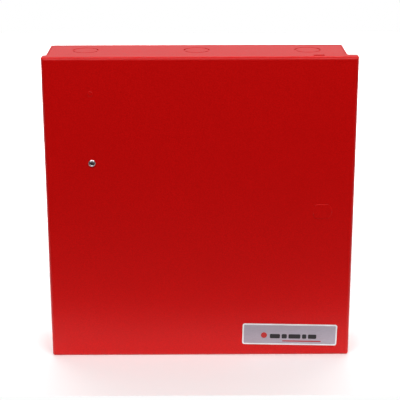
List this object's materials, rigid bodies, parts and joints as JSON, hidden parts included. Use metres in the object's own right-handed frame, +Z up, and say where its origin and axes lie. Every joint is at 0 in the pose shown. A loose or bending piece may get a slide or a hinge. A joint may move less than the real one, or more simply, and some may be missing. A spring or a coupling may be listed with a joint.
{
  "type": "fire alarm control panel",
  "caption": "Square red sheet-steel fire alarm panel cabinet with a plain wrap-around hinged door, indicator lamp, nameplate and equipped interior.",
  "frame": {"origin": "on the wall plane (the outer back face), at the middle of the door's width and height", "axes": "+X to the right seen from the front, +Y into the wall, +Z up; the door faces -Y"},
  "size_m": [0.3314, 0.0841, 0.338],
  "materials": {
    "red_paint": "fine orange-peel powder coat",
    "zinc_steel": "zinc plated",
    "chrome_plate": "polished",
    "clear_lamp": "water-clear moulded lamp",
    "plate_metal": "brushed, with a bright border",
    "copper_plated": "yellow plated",
    "board_green": "solder mask",
    "nylon_white": "moulded nylon",
    "steel_bright": "nickel plated",
    "terminal_green": "moulded",
    "block_grey": "moulded",
    "black_plastic": "moulded",
    "button_grey": "moulded",
    "button_red": "moulded",
    "lamp_green": "tinted, clear",
    "lamp_red": "tinted, clear",
    "lamp_amber": "tinted, clear",
    "display_pane": "clear over a grey-green field",
    "fuse_tube": "clear",
    "fin_metal": "black anodised",
    "can_sleeve": "shrink sleeve",
    "core_iron": "varnished laminations",
    "coil_tape": "polyester tape",
    "battery_case": "moulded, satin",
    "sleeve_clear": "moulded insulator",
    "wire_red": "insulation",
    "wire_black": "insulation",
    "wire_white": "insulation",
    "wire_blue": "insulation",
    "wire_green": "insulation"
  },
  "bodies": {
    "cabinet": {"alarm_lamps": "lamp_red", "back_box": "red_paint", "battery_lead_negative": "wire_black", "battery_lead_positive": "wire_red", "battery_left": "battery_case", "battery_link": "wire_blue", "battery_right": "battery_case", "battery_tabs": "steel_bright", "board_chips": "black_plastic", "board_screws": "zinc_steel", "board_standoffs": "steel_bright", "bracket_screws": "zinc_steel", "button_switches": "black_plastic", "capacitors": "can_sleeve", "display_board": "board_green", "display_frame": "zinc_steel", "display_glass": "display_pane", "display_spacers": "nylon_white", "earth_lead": "wire_green", "earth_nut": "copper_plated", "earth_stud": "copper_plated", "earth_washer": "zinc_steel", "fuse_caps": "steel_bright", "fuse_clips": "steel_bright", "fuse_glass": "fuse_tube", "heat_sink": "fin_metal", "hinge_box_leaf_lower": "zinc_steel", "hinge_box_leaf_upper": "zinc_steel", "hinge_pin_lower": "zinc_steel", "hinge_pin_upper": "zinc_steel", "main_board": "board_green", "mains_terminals": "block_grey", "output_terminals": "terminal_green", "plug_headers": "nylon_white", "power_lamp": "lamp_green", "regulator": "black_plastic", "relays": "black_plastic", "sounder": "black_plastic", "tab_sleeves": "sleeve_clear", "terminal_screws": "steel_bright", "transformer_bracket": "zinc_steel", "transformer_core": "core_iron", "transformer_lead_live": "wire_black", "transformer_lead_neutral": "wire_white", "transformer_lead_supply": "wire_blue", "transformer_winding": "coil_tape", "trouble_lamps": "lamp_amber", "zone_terminals": "terminal_green"},
    "door_panel": {"door": "red_paint", "hinge_door_leaf_upper": "zinc_steel", "hinge_door_leaf_lower": "zinc_steel", "indicator_bezel": "chrome_plate", "indicator_lamp": "clear_lamp", "indicator_nut": "zinc_steel", "nameplate": "plate_metal", "door_earth_stud": "copper_plated"},
    "acknowledge_cap": {"acknowledge_button": "button_grey"},
    "silence_cap": {"silence_button": "button_grey"},
    "drill_cap": {"drill_button": "button_grey"},
    "reset_cap": {"reset_button": "button_red"}
  },
  "joints": [
    {"name": "door_hinge", "type": "hinge", "parent": "cabinet", "child": "door_panel", "pos_m": [-0.16445, -0.069, 0], "axis": [0, 0, -1], "range_deg": [0, 180]},
    {"name": "acknowledge_press", "type": "slide", "parent": "cabinet", "child": "acknowledge_cap", "axis": [0, 1, 0], "range_m": [0, 0.0006], "stiffness_N_per_m": 1500},
    {"name": "silence_press", "type": "slide", "parent": "cabinet", "child": "silence_cap", "axis": [0, 1, 0], "range_m": [0, 0.0006], "stiffness_N_per_m": 1500},
    {"name": "drill_press", "type": "slide", "parent": "cabinet", "child": "drill_cap", "axis": [0, 1, 0], "range_m": [0, 0.0006], "stiffness_N_per_m": 1500},
    {"name": "reset_press", "type": "slide", "parent": "cabinet", "child": "reset_cap", "axis": [0, 1, 0], "range_m": [0, 0.0006], "stiffness_N_per_m": 1500}
  ]
}
